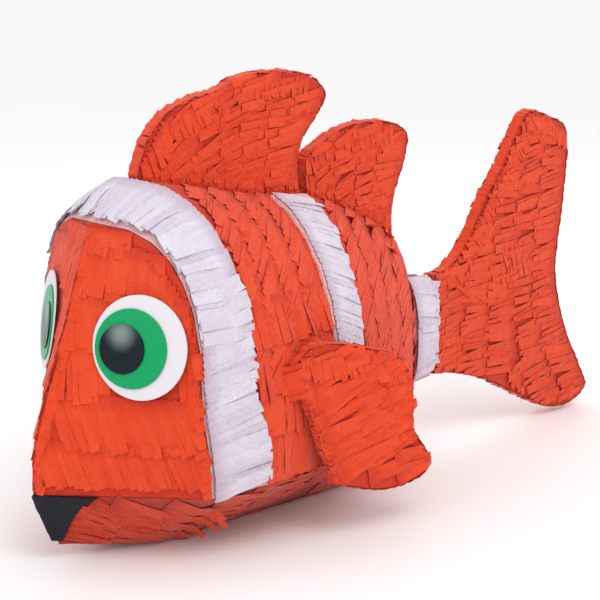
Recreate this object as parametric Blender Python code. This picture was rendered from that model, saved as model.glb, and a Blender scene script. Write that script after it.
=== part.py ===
"""Fish pinata: a hollow card shell covered with crepe paper, with card fins and a taped filling flap.

Sizes are in millimetres until each mesh is made. The fish looks towards -X, and its left side is -Y.
While it is being shaped, x = 0 is at the eyes and z = 0 is the floor that the belly rests on.
At the end everything moves along X, so that the origin is the middle of the bounding box's bottom.
"""

import math
from collections import defaultdict, namedtuple

import bmesh
import bpy
import numpy as np
from mathutils import Matrix, Vector

MM = 0.001

# Paper and card thicknesses, and the clearances between pieces.
GAP = 0.3
CREPE = 3.0
SHELL_CARD = 3.0
OVERLAY = 1.8
FIN_CARD = 5.0
FIN_CREPE = 2.5
SIDE_FIN_CARD = 3.0
SIDE_FIN_CREPE = 1.6
FLAP_CLEARANCE = 1.0

# Sections through the body, from the front edge of the head band to the end of the tail root. Each
# leans back towards the belly, so it has its own x at the ridge, the waist and the chine. Roundness
# is the exponent of the superellipse from the ridge down to the waist: 2 is an ellipse.
Section = namedtuple(
    "Section", "ridge_x waist_x chine_x ridge_z half_width waist_z chine_z belly_z belly_half roundness"
)
SECTIONS = (
    Section(0, 20, 32, 225, 91, 109, 48, 0, 22, 2.9),
    Section(33, 62, 78, 250, 95, 109, 48, 0, 22, 2.35),
    Section(139, 141, 143, 231, 85, 109, 48, 0, 22, 2.0),
    Section(175, 176, 178, 228, 74, 109, 48, 0, 22, 1.95),
    Section(235, 236, 237, 207, 50, 106, 46, 0, 20, 2.0),
    Section(274, 274, 274, 184, 32, 104, 50, 20, 14, 2.0),
    Section(291, 291, 291, 147, 17, 103, 74, 59, 8, 2.0),
    Section(320, 320, 320, 146, 12, 103, 76, 62, 6, 2.0),
)
HEAD_BAND_REAR = 1
MID_BAND_FRONT = 2
MID_BAND_REAR = 3
TAIL_BAND_FRONT = 6
CHINE_HALF = 0.92

# The nose line in the middle of the head, from the forehead down to the lip, and the chin below it.
NOSE_Z = (48, 66, 150, 225)
NOSE_X = (-50, -50.5, -24, 0)
CHIN_X = -33
CHIN_Z = 9

# Columns of the shell's grid: parts of the way from the nose line to the head band, then sections.
FACE_STEPS = (0, 0.2, 0.4, 0.6, 0.8)
BODY_STEPS = (0, 0.5, 1, 1.2, 1.6, 2, 2.5, 3, 3.35, 3.7, 4, 4.35, 4.7, 5, 5.5, 6, 6.5, 7)

# Rows of the shell's grid, from the ridge down one side to the middle of the belly.
ROOF_ROWS = 7
SIDE_ROWS = 3
UNDER_ROWS = (0.16, 0.5, 0.84, 1)

# The filling flap is the middle two rows of the underside between these two sections, on the left.
FLAP_FRONT = 1.2
FLAP_REAR = 2
TAPE_LIFT = 1.0
TAPE_THICKNESS = 0.5

# Eyes: discs of paper-covered card, one on another, each nudged towards the nose.
EYE_Y = 52.5
EYE_Z = 150
EYE_WHITE = (68, 1.0, 0, 0)
EYE_IRIS = (52, 0.8, -5.8, -1.2)
EYE_PUPIL = (32.5, 0.8, -11.7, -1.8)
EYE_SIDES = 48

MOUTH_REACH = 0.36

# Fin outlines as (x, height) points that a smooth curve runs through, base ends first and last.
FRONT_FIN = (
    (36, 252), (44, 274), (60, 291), (84, 301), (106, 305), (128, 313), (160, 315), (188, 311),
    (203, 299), (198, 286), (182, 268), (176.5, 250), (176.5, 232),
)
REAR_FIN = (
    (184, 232), (184, 250), (203, 262), (226, 271), (248, 273), (272, 271), (289, 262), (287, 243),
    (279, 224), (274.5, 205), (273.5, 192),
)
TAIL_FIN = (
    (322, 146), (341, 148), (364, 168), (384, 200), (402, 222), (420, 250), (436, 269), (463, 262),
    (486, 248), (484, 190), (477, 137), (482, 104), (497, 68), (520, 30), (526, 14), (505, 4),
    (474, 6), (432, 26), (390, 47), (350, 60), (322, 64),
)
TAIL_TAB = (296, 88, 122)
SIDE_FIN = (
    (92, 131), (108, 142), (128, 140), (150, 134), (173, 127), (186, 113), (190, 92), (191, 70),
    (204, 50), (203, 37), (184, 31), (160, 32), (126, 42),
)
SIDE_FIN_FLARE = 8.0
SIDE_FIN_STANDOFF = 1.0

# The hanging cord's hole, between the two back fins, and the stick inside that the cord is tied to.
CORD_HOLE_X = 180.25
CORD_HOLE = 5.5
STICK_LENGTH = 90
STICK_DIAMETER = 8
STICK_SIDES = 20

CREPE_ORANGE = (0.78, 0.085, 0.032)
CREPE_ORANGE_DARK = (0.55, 0.055, 0.03)
CREPE_WHITE = (0.75, 0.68, 0.76)
CARD_BROWN = (0.38, 0.25, 0.14)
DISC_WHITE = (0.78, 0.78, 0.82)
DISC_GREEN = (0.005, 0.37, 0.12)
DISC_BLACK = (0.006, 0.012, 0.016)
PAPER_BLACK = (0.012, 0.014, 0.02)
TAPE_CLEAR = (0.85, 0.8, 0.8)
STICK_WOOD = (0.55, 0.38, 0.2)


# ---------------------------------------------------------------- scene and materials


def clear_scene():
    for item in list(bpy.data.objects):
        bpy.data.objects.remove(item, do_unlink=True)


def material(name, colour, roughness, alpha=1.0):
    made = bpy.data.materials.get(name)
    if made:
        return made
    made = bpy.data.materials.new(name)
    made.use_nodes = True
    shader = made.node_tree.nodes["Principled BSDF"]
    shader.inputs["Base Color"].default_value = (*colour, 1)
    shader.inputs["Roughness"].default_value = roughness
    shader.inputs["Metallic"].default_value = 0
    shader.inputs["Alpha"].default_value = alpha
    return made


def crepe_orange():
    return material("crepe_orange", CREPE_ORANGE, 0.8)


def crepe_under():
    return material("crepe_orange_underside", CREPE_ORANGE_DARK, 0.8)


def crepe_white():
    return material("crepe_white", CREPE_WHITE, 0.8)


def card():
    return material("brown_card", CARD_BROWN, 0.9)


def add_object(name, mesh, made_of):
    """An object whose mesh is in millimetres, turned to metres."""
    mesh.name = name
    mesh.transform(Matrix.Scale(MM, 4))
    mesh.materials.clear()
    mesh.materials.append(made_of)
    made = bpy.data.objects.new(name, mesh)
    bpy.context.scene.collection.objects.link(made)
    return made


def mesh_from(points, faces):
    """A closed mesh, whose faces all point in or all out, turned so that they point out."""
    work = bmesh.new()
    corners = [work.verts.new(point) for point in points]
    for face in faces:
        work.faces.new([corners[index] for index in face])
    bmesh.ops.remove_doubles(work, verts=work.verts, dist=0.002)
    bmesh.ops.dissolve_degenerate(work, edges=work.edges, dist=0.001)
    if work.calc_volume(signed=True) < 0:
        bmesh.ops.reverse_faces(work, faces=work.faces)
    mesh = bpy.data.meshes.new("shape")
    work.to_mesh(mesh)
    work.free()
    return mesh


def cut(target, cutter):
    """Takes the cutter's shape out of the target. The cutter stays in the scene as a wire guide."""
    cutter.hide_render = True
    cutter.display_type = "WIRE"
    change = target.modifiers.new("cut_" + cutter.name, "BOOLEAN")
    change.operation = "DIFFERENCE"
    change.solver = "EXACT"
    change.object = cutter


# ---------------------------------------------------------------- curves


def slopes(xs, ys):
    """Slopes of a curve through the points that never overshoots them."""
    steps = [(ys[k + 1] - ys[k]) / (xs[k + 1] - xs[k]) for k in range(len(xs) - 1)]
    found = [steps[0]]
    for before, after in zip(steps, steps[1:]):
        same_way = before * after > 0
        found.append(2 * before * after / (before + after) if same_way else 0)
    found.append(steps[-1])
    return found


def smooth(xs, ys, x):
    """The value at x of the smooth curve through the points (xs, ys)."""
    k = min(max(sum(x >= knot for knot in xs) - 1, 0), len(xs) - 2)
    width = xs[k + 1] - xs[k]
    t = (x - xs[k]) / width
    slope = slopes(xs, ys)
    value = ys[k] * (1 + 2 * t) * (1 - t) ** 2 + ys[k + 1] * t * t * (3 - 2 * t)
    return value + width * (slope[k] * t * (1 - t) ** 2 - slope[k + 1] * t * t * (1 - t))


def curve_through(points, steps):
    """A smooth open curve through the points, with this many steps from each to the next."""
    ends = [2 * Vector(points[0]) - Vector(points[1])]
    ends += [Vector(point) for point in points]
    ends.append(2 * Vector(points[-1]) - Vector(points[-2]))
    found = []
    for k in range(1, len(ends) - 2):
        for step in range(steps):
            t = step / steps
            before, start, end, after = ends[k - 1:k + 3]
            bend = 2 * before - 5 * start + 4 * end - after
            found.append(
                0.5 * (2 * start + (end - before) * t + bend * t * t
                       + (3 * start - before - 3 * end + after) * t ** 3)
            )
    found.append(ends[-2])
    return found


def inset(points, distance):
    """An open outline moved towards its right-hand side."""
    found = []
    for k, point in enumerate(points):
        along = (points[min(k + 1, len(points) - 1)] - points[max(k - 1, 0)]).normalized()
        found.append(point + distance * Vector((along.y, -along.x)))
    return found


# ---------------------------------------------------------------- the shell's surface


def section_at(step):
    """The section at a step, between two of the named ones where it isn't whole."""
    keys = range(len(SECTIONS))
    return Section(*[smooth(keys, [section[k] for section in SECTIONS], step)
                     for k in range(len(Section._fields))])


def section_rows(section):
    """The left half of a section, from the ridge down to the middle of the belly."""
    rows = []
    power = 2 / section.roundness
    for k in range(ROOF_ROWS + 1):
        angle = math.pi / 2 * k / ROOF_ROWS
        across = math.sin(angle) ** power
        height = math.cos(angle) ** power if k < ROOF_ROWS else 0
        x = section.ridge_x + (section.waist_x - section.ridge_x) * across
        z = section.waist_z + (section.ridge_z - section.waist_z) * height
        rows.append(Vector((x, -section.half_width * across, z)))
    waist = rows[-1]
    chine = Vector((section.chine_x, -section.half_width * CHINE_HALF, section.chine_z))
    for k in range(1, SIDE_ROWS + 1):
        part = k / SIDE_ROWS
        rows.append(Vector((
            waist.x + (chine.x - waist.x) * part,
            waist.y + (chine.y - waist.y) * part * part,
            waist.z + (chine.z - waist.z) * part,
        )))
    keel = Vector((section.chine_x + 1, -section.belly_half, section.belly_z))
    rows += [chine.lerp(keel, part) for part in UNDER_ROWS]
    rows.append(Vector((keel.x, 0, keel.z)))
    return rows


CHINE_ROW = ROOF_ROWS + SIDE_ROWS
KEEL_ROW = CHINE_ROW + len(UNDER_ROWS)
BELLY_ROW = KEEL_ROW + 1
LAST_ROW = 2 * BELLY_ROW


def nose_rows(edge):
    """The nose line's points, each level with the same row of the head band's front edge."""
    rows = []
    for point in edge[:CHINE_ROW + 1]:
        rows.append(Vector((smooth(NOSE_Z, NOSE_X, point.z), 0, point.z)))
    lip = rows[-1]
    chin = Vector((CHIN_X, 0, CHIN_Z))
    rows += [lip.lerp(chin, part) for part in UNDER_ROWS]
    rows.append(chin.copy())
    return rows


def shell_grid():
    """Columns of points over the left half of the shell, from the nose line to the tail."""
    edge = section_rows(section_at(0))
    nose = nose_rows(edge)
    columns = [[a.lerp(b, part) for a, b in zip(nose, edge)] for part in FACE_STEPS]
    columns += [section_rows(section_at(step)) for step in BODY_STEPS]
    return columns


GRID = shell_grid()
COLUMNS = len(GRID)


def column_at(step):
    return len(FACE_STEPS) + BODY_STEPS.index(step)


def face_normal(i, j):
    """The outward normal of the shell between columns i, i + 1 and rows j, j + 1."""
    across = GRID[i + 1][j + 1] - GRID[i][j]
    down = GRID[i][j + 1] - GRID[i + 1][j]
    return down.cross(across)


def place_key(point):
    return tuple(round(value, 3) for value in point)


def outward_vectors():
    """For each grid point, the vector that moves it 1 mm off every face that meets there."""
    normals = defaultdict(list)
    for i in range(COLUMNS - 1):
        for j in range(BELLY_ROW):
            normal = face_normal(i, j)
            if normal.length < 0.01:
                continue
            normal.normalize()
            for corner in (GRID[i][j], GRID[i + 1][j], GRID[i][j + 1], GRID[i + 1][j + 1]):
                found = normals[place_key(corner)]
                found.append(normal)
                if corner.y > -0.001:
                    found.append(Vector((normal.x, -normal.y, normal.z)))
    vectors = {}
    for key, found in normals.items():
        rows = np.array([list(normal) for normal in found])
        vectors[key] = Vector(np.linalg.lstsq(rows, np.ones(len(rows)), rcond=0.12)[0])
    # The sides of the head are straight from the nose line to the head band, on every layer.
    for j in range(BELLY_ROW + 1):
        ends = [vectors[place_key(GRID[i][j])] for i in (0, len(FACE_STEPS))]
        for column, part in zip(GRID, FACE_STEPS):
            vectors[place_key(column[j])] = ends[0].lerp(ends[1], part)
    return vectors


OUTWARD = outward_vectors()


def on_shell(i, row, distance):
    """A grid point moved outwards. Rows run on round the belly and up the right side."""
    row %= LAST_ROW
    j = min(row, LAST_ROW - row)
    point = GRID[i][j] + OUTWARD[place_key(GRID[i][j])] * distance
    return Vector((point.x, -point.y, point.z)) if row > BELLY_ROW else point


def pulled_in(i, row, box, margins):
    """How far a border point moves over the surface towards the middle of its patch."""
    first, last, top, bottom = box
    front, rear, upper, lower = margins
    here = on_shell(i, row, 0)
    moved = Vector()
    for edge, near_i, near_row, margin in (
        (i == first, i + 1, row, front), (i == last, i - 1, row, rear),
        (row == top, i, row + 1, upper), (row == bottom, i, row - 1, lower),
    ):
        if edge and margin:
            moved += (on_shell(near_i, near_row, 0) - here).normalized() * margin
    return moved


def patch(box, inner, outer, margins=(GAP / 2,) * 4, window=None, side=0):
    """A closed piece of the shell between two distances from its surface.

    box is first column, last column, top row, bottom row. A window leaves out the cells inside it.
    A piece of one side, -1 for the left or 1 for the right, keeps off the middle plane.
    """
    first, last, top, bottom = box
    cells = []
    for i in range(first, last):
        for row in range(top, bottom):
            if window and window[0] <= i < window[1] and window[2] <= row < window[3]:
                continue
            cell = [(i, row), (i + 1, row), (i + 1, row + 1), (i, row + 1)]
            on_left = row % LAST_ROW < BELLY_ROW
            cells.append(cell if on_left else cell[1:] + cell[:1])
    keys = sorted({key for cell in cells for key in cell})
    place = {key: k for k, key in enumerate(keys)}
    count = len(keys)
    points = []
    for distance in (inner, outer):
        for key in keys:
            point = on_shell(*key, distance) + pulled_in(*key, box, margins)
            if side and point.y * side < GAP / 2:
                point.y = side * GAP / 2
            points.append(point)
    return mesh_from(points, thick_faces([[place[key] for key in cell] for cell in cells], count))


def thick_faces(cells, count):
    """Triangles of two layers of cells, the second layer's points count places on, and the rim between."""
    faces = []
    edges = set()
    for cell in cells:
        a, b, c, d = cell
        for corner in ((a, b, c), (a, c, d)):
            faces.append(corner)
            faces.append(tuple(count + k for k in reversed(corner)))
        edges.update(zip(cell, cell[1:] + cell[:1]))
    for a, b in sorted(edges):
        if (b, a) not in edges and a < b:
            faces += [(b, a, count + b), (a, count + a, count + b)]
        elif (b, a) not in edges:
            faces += [(b, a, count + a), (b, count + a, count + b)]
    return faces


def smoothed(mesh, angle=40):
    mesh.shade_smooth()
    mesh.set_sharp_from_angle(angle=math.radians(angle))
    return mesh


def mirrored(box):
    """The same patch on the other side of the fish."""
    first, last, top, bottom = box
    return first, last, LAST_ROW - bottom, LAST_ROW - top


HEAD_EDGE = column_at(0)
TAIL_END = COLUMNS - 1
CREPE_LAYER = (-CREPE, 0)
CARD_LAYER = (-CREPE - GAP - SHELL_CARD, -CREPE - GAP)
TOP_LAYER = (GAP, GAP + OVERLAY)
SIDES = ("left", "right")


def both_sides(name, box, layer, made_of, window=None):
    """A patch on the left and its mirror image on the right. A window is on the left only."""
    front = 0 if box[0] == 0 else GAP / 2
    upper = 0 if box[2] == 0 else GAP / 2
    left = patch(box, *layer, (front, GAP / 2, upper, GAP / 2), window, -1)
    right = patch(mirrored(box), *layer, (front, GAP / 2, GAP / 2, upper), None, 1)
    made = (left, right)
    return [add_object(f"{name}_{side}", smoothed(mesh), made_of) for side, mesh in zip(SIDES, made)]


# ---------------------------------------------------------------- pieces


def make_card_shell():
    head = (0, HEAD_EDGE, 0, CHINE_ROW)
    both_sides("head_card", head, CARD_LAYER, card())
    flank = (HEAD_EDGE, TAIL_END, 0, CHINE_ROW)
    flanks = both_sides("flank_card", flank, CARD_LAYER, card())
    under = (0, TAIL_END, CHINE_ROW, KEEL_ROW)
    both_sides("underside_card", under, CARD_LAYER, card(), window=flap_cells())
    belly = patch((0, TAIL_END, KEEL_ROW, LAST_ROW - KEEL_ROW), *CARD_LAYER)
    add_object("belly_card", smoothed(belly), card())
    return flanks


def make_crepe():
    head = (0, HEAD_EDGE, 0, CHINE_ROW)
    both_sides("head_crepe", head, CREPE_LAYER, crepe_orange())
    rear = column_at(HEAD_BAND_REAR)
    band = patch((HEAD_EDGE, rear, -CHINE_ROW, CHINE_ROW), *CREPE_LAYER)
    add_object("head_band", smoothed(band), crepe_white())
    tail = column_at(TAIL_BAND_FRONT)
    flanks = both_sides("flank_crepe", (rear, tail, 0, CHINE_ROW), CREPE_LAYER, crepe_orange())
    around = patch((tail, TAIL_END, -KEEL_ROW, KEEL_ROW), *CREPE_LAYER)
    add_object("tail_band", smoothed(around), crepe_white())
    middle = (column_at(MID_BAND_FRONT), column_at(MID_BAND_REAR), 1, ROOF_ROWS - 1)
    both_sides("mid_band", middle, TOP_LAYER, crepe_white())
    under = (0, tail, CHINE_ROW, KEEL_ROW)
    both_sides("underside_crepe", under, CREPE_LAYER, crepe_under(), window=flap_cells())
    belly = patch((0, TAIL_END, KEEL_ROW, LAST_ROW - KEEL_ROW), *CREPE_LAYER)
    add_object("belly_crepe", smoothed(belly), crepe_under())
    return flanks


def flap_cells():
    """The window's first and last column and row: the middle rows of the underside."""
    return column_at(FLAP_FRONT), column_at(FLAP_REAR), CHINE_ROW + 1, KEEL_ROW - 1


def make_flap():
    """The flap's card and crepe, the tape that holds its upper edge, and the crease it turns on."""
    first, last, top, bottom = flap_cells()
    start = on_shell(first, bottom, 0)
    end = on_shell(last, bottom, 0)
    along = (end - start).normalized()
    crease = bpy.data.objects.new("flap_crease", None)
    crease.location = start * MM
    crease.rotation_mode = "QUATERNION"
    crease.rotation_quaternion = Vector((1, 0, 0)).rotation_difference(along)
    bpy.context.scene.collection.objects.link(crease)
    margins = (FLAP_CLEARANCE,) * 4
    box = (first, last, top, bottom)
    flap = add_object("flap_card", patch(box, *CARD_LAYER, margins), card())
    cover = add_object("flap_crepe", patch(box, *CREPE_LAYER, margins), crepe_under())
    clear = material("clear_tape", TAPE_CLEAR, 0.15, 0.45)
    strip = patch((first, first + 1, top - 1, top + 1), TAPE_LIFT, TAPE_LIFT + TAPE_THICKNESS, (4, 4, 3, 9))
    tape = add_object("flap_tape", strip, clear)
    bpy.context.view_layer.update()
    for piece in (flap, cover, tape):
        piece.parent = crease
        piece.matrix_parent_inverse = crease.matrix_world.inverted()
    return crease


def edge_point(height):
    """The head band's front edge at a height, on the left."""
    section = section_at(0)
    rise = (height - section.waist_z) / (section.ridge_z - section.waist_z)
    across = (1 - max(rise, 0) ** section.roundness) ** (1 / section.roundness)
    x = section.ridge_x + (section.waist_x - section.ridge_x) * across
    return Vector((x, -section.half_width * across, height))


def head_point(y, height):
    """A point of the flat side of the head at a distance from its middle, on the left."""
    edge = edge_point(height)
    nose = Vector((smooth(NOSE_Z, NOSE_X, height), 0, height))
    return nose.lerp(edge, y / -edge.y)


def eye_frame():
    """The left eye's centre, and its directions: towards the back, up and outwards."""
    centre = head_point(EYE_Y, EYE_Z)
    reach = EYE_WHITE[0] / 2
    backward = (head_point(EYE_Y + 1, EYE_Z) - centre).normalized()
    up = (head_point(EYE_Y, EYE_Z + reach) - head_point(EYE_Y, EYE_Z - reach)).normalized()
    outward = up.cross(backward).normalized()
    outward *= -1 if outward.y > 0 else 1
    up = backward.cross(outward)
    up *= -1 if up.z < 0 else 1
    highest = 0
    for k in range(EYE_SIDES):
        angle = math.tau * k / EYE_SIDES
        rim = centre + reach * (backward * math.cos(angle) + up * math.sin(angle))
        highest = max(highest, (head_point(-rim.y, rim.z) - rim).dot(outward))
    return centre + outward * (highest + GAP), backward, up, outward


def disc(centre, backward, up, outward, size):
    """One round layer of an eye, its centre moved within the disc's plane."""
    diameter, thickness, along, rise = size
    work = bmesh.new()
    bmesh.ops.create_cone(
        work, cap_ends=True, segments=EYE_SIDES,
        radius1=diameter / 2, radius2=diameter / 2, depth=thickness,
    )
    middle = centre + backward * along + up * rise + outward * thickness / 2
    turn = Matrix((backward, up, backward.cross(up))).transposed().to_4x4()
    work.transform(Matrix.Translation(middle) @ turn)
    mesh = bpy.data.meshes.new("disc")
    work.to_mesh(mesh)
    work.free()
    return smoothed(mesh, 50)


def make_eyes():
    layers = (
        ("eye_white", EYE_WHITE, material("disc_white", DISC_WHITE, 0.25)),
        ("eye_iris", EYE_IRIS, material("disc_green", DISC_GREEN, 0.2)),
        ("eye_pupil", EYE_PUPIL, material("disc_black", DISC_BLACK, 0.15)),
    )
    for side, flip in zip(SIDES, (1, -1)):
        centre, backward, up, outward = [Vector((v.x, v.y * flip, v.z)) for v in eye_frame()]
        for name, size, made_of in layers:
            add_object(f"{name}_{side}", disc(centre, backward, up, outward, size), made_of)
            centre = centre + outward * (size[1] + GAP)


def make_mouth():
    """A black paper triangle over the bow of the chin, widest at the lip."""
    rows = range(CHINE_ROW, KEEL_ROW)
    columns = [part for part in FACE_STEPS if part < MOUTH_REACH]
    points = []
    shape = []
    for distance in (CREPE * 0.3, CREPE * 0.3 + 1):
        for row in rows:
            part = (row - CHINE_ROW) / len(rows)
            reach = MOUTH_REACH * (1 - part)
            line = []
            for k in range(len(columns) + 1):
                across = reach * k / len(columns)
                line.append(between_columns(across, row, distance))
            line = [Vector((p.x, -p.y, p.z)) for p in line[:0:-1]] + line
            shape.append(range(len(points), len(points) + len(line)))
            points += line
    cells = []
    for above, below in zip(shape[:len(rows) - 1], shape[1:len(rows)]):
        for k in range(len(above) - 1):
            cells.append([above[k], above[k + 1], below[k + 1], below[k]])
    faces = thick_faces(cells, len(points) // 2)
    black = material("black_paper", PAPER_BLACK, 0.45)
    add_object("mouth_patch", mesh_from(points, faces), black)


def between_columns(part, row, distance):
    """A point of the head part of the way from the nose line to the head band."""
    i = max(k for k, step in enumerate(FACE_STEPS) if step <= part)
    ends = (*FACE_STEPS, 1)
    t = (part - ends[i]) / (ends[i + 1] - ends[i])
    return on_shell(i, row, distance).lerp(on_shell(i + 1, row, distance), t)


def plate(outline, half):
    """A flat plate on the fish's middle plane, from an outline of (x, height) points."""
    work = bmesh.new()
    face = work.faces.new([work.verts.new((p.x, -half, p.y)) for p in outline])
    pulled = bmesh.ops.extrude_face_region(work, geom=[face])
    top = [item for item in pulled["geom"] if isinstance(item, bmesh.types.BMVert)]
    bmesh.ops.translate(work, verts=top, vec=(0, 2 * half, 0))
    bmesh.ops.recalc_face_normals(work, faces=work.faces)
    mesh = bpy.data.meshes.new("plate")
    work.to_mesh(mesh)
    work.free()
    return smoothed(mesh, 30)


RIDGE_X = [column[0].x for column in GRID[HEAD_EDGE:]]
RIDGE_Z = [column[0].z for column in GRID[HEAD_EDGE:]]


def ridge_height(x):
    return float(np.interp(x, RIDGE_X, RIDGE_Z))


def closed_on_ridge(curve):
    """A back fin's outline: the part of its curve above the ridge, and the ridge under it."""
    above = [p for p in curve if p.y > ridge_height(p.x) + 1.5]
    start, end = above[0].x, above[-1].x
    knots = [start, *[x for x in RIDGE_X if start + 1 < x < end - 1], end]
    return above + [Vector((x, ridge_height(x) + GAP)) for x in reversed(knots)]


def make_fin(name, points, closed, opening, thickness, tab=()):
    """A fin's card core and the crepe cover round it, which is open towards the body."""
    card_thickness, crepe_thickness = thickness
    half = card_thickness / 2
    curve = curve_through(points, 3)
    core = add_object(
        name + "_card", plate(closed(inset(curve, crepe_thickness + GAP)) + list(tab), half), card()
    )
    outer = plate(closed(curve), half + GAP + crepe_thickness)
    cover = add_object(name + "_crepe", outer, crepe_orange())
    inner = inset(curve, crepe_thickness)
    hollow_outline = [inner[0] + opening, *inner, inner[-1] + opening]
    hollow = add_object(name + "_hollow", plate(hollow_outline, half + GAP), card())
    cut(cover, hollow)
    return core, cover, hollow


def make_back_fins():
    down = Vector((0, -40))
    thickness = (FIN_CARD, FIN_CREPE)
    make_fin("front_fin", FRONT_FIN, closed_on_ridge, down, thickness)
    make_fin("rear_fin", REAR_FIN, closed_on_ridge, down, thickness)


def make_tail_fin():
    """The tail fin, whose card runs on as a tab between the two sides of the shell."""
    front, low, high = TAIL_TAB
    joint = TAIL_FIN[0][0]
    tab = [Vector((joint, low)), Vector((front, low)), Vector((front, high)), Vector((joint, high))]
    forward = Vector((-40, 0))
    make_fin("tail_fin", TAIL_FIN, list, forward, (FIN_CARD, FIN_CREPE), tab)


def flank_half_width(x):
    """Half the shell's width at the waist."""
    xs = [column[ROOF_ROWS].x for column in GRID[HEAD_EDGE:]]
    halves = [-column[ROOF_ROWS].y for column in GRID[HEAD_EDGE:]]
    return float(np.interp(x, xs, halves))


def make_side_fins():
    """The side fins, glued to the flanks by their front edge and flared towards the tail."""
    root_x = SIDE_FIN[0][0]
    total = SIDE_FIN_CARD + 2 * (GAP + SIDE_FIN_CREPE)
    off = flank_half_width(root_x) + SIDE_FIN_STANDOFF
    opening = Vector((-35, -13))
    for side, sign in zip(SIDES, (-1, 1)):
        name = "side_fin_" + side
        turn = Matrix.Rotation(sign * math.radians(SIDE_FIN_FLARE), 4, "Z")
        out = Matrix.Translation((0, sign * total / 2, 0))
        move = Matrix.Translation((root_x, sign * off, 0)) @ turn @ out @ Matrix.Translation((-root_x, 0, 0))
        for piece in make_fin(name, SIDE_FIN, list, opening, (SIDE_FIN_CARD, SIDE_FIN_CREPE)):
            piece.data.transform(Matrix.Scale(MM, 4) @ move @ Matrix.Scale(1 / MM, 4))


def cylinder(radius, depth, centre, axis, sides):
    work = bmesh.new()
    bmesh.ops.create_cone(
        work, cap_ends=True, segments=sides, radius1=radius, radius2=radius, depth=depth
    )
    turn = Vector((0, 0, 1)).rotation_difference(Vector(axis)).to_matrix().to_4x4()
    work.transform(Matrix.Translation(centre) @ turn)
    bmesh.ops.recalc_face_normals(work, faces=work.faces)
    mesh = bpy.data.meshes.new("round")
    work.to_mesh(mesh)
    work.free()
    return smoothed(mesh, 50)


def make_hanger(pieces):
    """The cord's hole on the ridge between the back fins, and the stick under it."""
    top = Vector((CORD_HOLE_X, 0, ridge_height(CORD_HOLE_X)))
    drill = add_object("cord_hole", cylinder(CORD_HOLE / 2, 60, top, (0, 0, 1), 16), card())
    for piece in pieces:
        cut(piece, drill)
    wall = CREPE + SHELL_CARD + 3 * GAP
    low = min(ridge_height(CORD_HOLE_X + end * STICK_LENGTH / 2) for end in (-1, 0, 1))
    centre = Vector((CORD_HOLE_X, 0, low - wall - STICK_DIAMETER / 2 - 1))
    stick = cylinder(STICK_DIAMETER / 2, STICK_LENGTH, centre, (1, 0, 0), STICK_SIDES)
    add_object("hanging_stick", stick, material("stick_wood", STICK_WOOD, 0.6))


def centre_model():
    """Moves everything so that the origin is the middle of the bounding box's bottom."""
    bpy.context.view_layer.update()
    graph = bpy.context.evaluated_depsgraph_get()
    corners = []
    for item in bpy.data.objects:
        if item.type == "MESH" and not item.hide_render:
            shape = item.evaluated_get(graph)
            corners += [item.matrix_world @ Vector(corner) for corner in shape.bound_box]
    low = [min(corner[k] for corner in corners) for k in range(3)]
    high = [max(corner[k] for corner in corners) for k in range(3)]
    shift = Vector((-(low[0] + high[0]) / 2, -(low[1] + high[1]) / 2, -low[2]))
    for item in bpy.data.objects:
        if item.type == "EMPTY":
            item.location += shift
        elif item.parent is None:
            item.data.transform(Matrix.Translation(shift))


def main():
    clear_scene()
    flanks = make_card_shell()
    flanks += make_crepe()
    make_flap()
    make_eyes()
    make_mouth()
    make_back_fins()
    make_tail_fin()
    make_side_fins()
    make_hanger(flanks)
    centre_model()


main()
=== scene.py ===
"""Fish pinata: a card shell under rows of cut crepe fringe, with card fins, paper eyes and a taped flap.

The fish looks towards -X and its left side is -Y. Each section makes one piece or group of pieces.
"""

import math

import bmesh
import bpy
import numpy as np
from mathutils import Matrix, Vector, noise
from mathutils.bvhtree import BVHTree


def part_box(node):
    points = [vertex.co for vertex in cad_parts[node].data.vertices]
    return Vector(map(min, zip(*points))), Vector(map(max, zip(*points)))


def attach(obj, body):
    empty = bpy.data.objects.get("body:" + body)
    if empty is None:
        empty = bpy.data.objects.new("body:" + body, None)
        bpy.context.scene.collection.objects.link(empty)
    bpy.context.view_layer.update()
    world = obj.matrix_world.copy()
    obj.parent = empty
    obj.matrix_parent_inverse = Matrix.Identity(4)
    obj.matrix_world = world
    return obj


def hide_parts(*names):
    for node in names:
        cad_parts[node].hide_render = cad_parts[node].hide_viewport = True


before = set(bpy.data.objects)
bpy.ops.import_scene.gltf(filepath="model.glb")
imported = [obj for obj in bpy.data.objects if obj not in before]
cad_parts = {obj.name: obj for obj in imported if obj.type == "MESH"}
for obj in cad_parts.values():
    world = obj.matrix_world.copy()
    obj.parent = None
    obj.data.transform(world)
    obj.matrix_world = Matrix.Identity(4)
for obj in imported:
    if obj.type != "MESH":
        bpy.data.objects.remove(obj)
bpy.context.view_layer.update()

MM = 0.001


# -------------------- the table and the light
# A plain pale table with a large soft window-like light over the fish's left shoulder, a wide
# fill light in front of its head and an even white room.

CAMERA_PLACE = (-0.7796, -0.8155, 0.392)
CAMERA_TURN = (90 - 12.75, 0, -41.7)
CAMERA_LENS = 90
CAMERA_SENSOR = 36
CAMERA_SEES = 20
TABLE_SIZE = 30
TABLE_DROP = 2.5 * MM

camera = bpy.data.objects.new("camera", bpy.data.cameras.new("camera"))
bpy.context.scene.collection.objects.link(camera)
camera.data.lens = CAMERA_LENS
camera.data.sensor_width = CAMERA_SENSOR
camera.data.clip_end = CAMERA_SEES
camera.location = CAMERA_PLACE
camera.rotation_euler = [math.radians(angle) for angle in CAMERA_TURN]
bpy.context.scene.camera = camera


def linear(code):
    """An sRGB hex colour as linear red, green, blue and alpha."""
    parts = [int(code[k:k + 2], 16) / 255 for k in (0, 2, 4)]
    return (*[p / 12.92 if p <= 0.04045 else ((p + 0.055) / 1.055) ** 2.4 for p in parts], 1)


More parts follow.
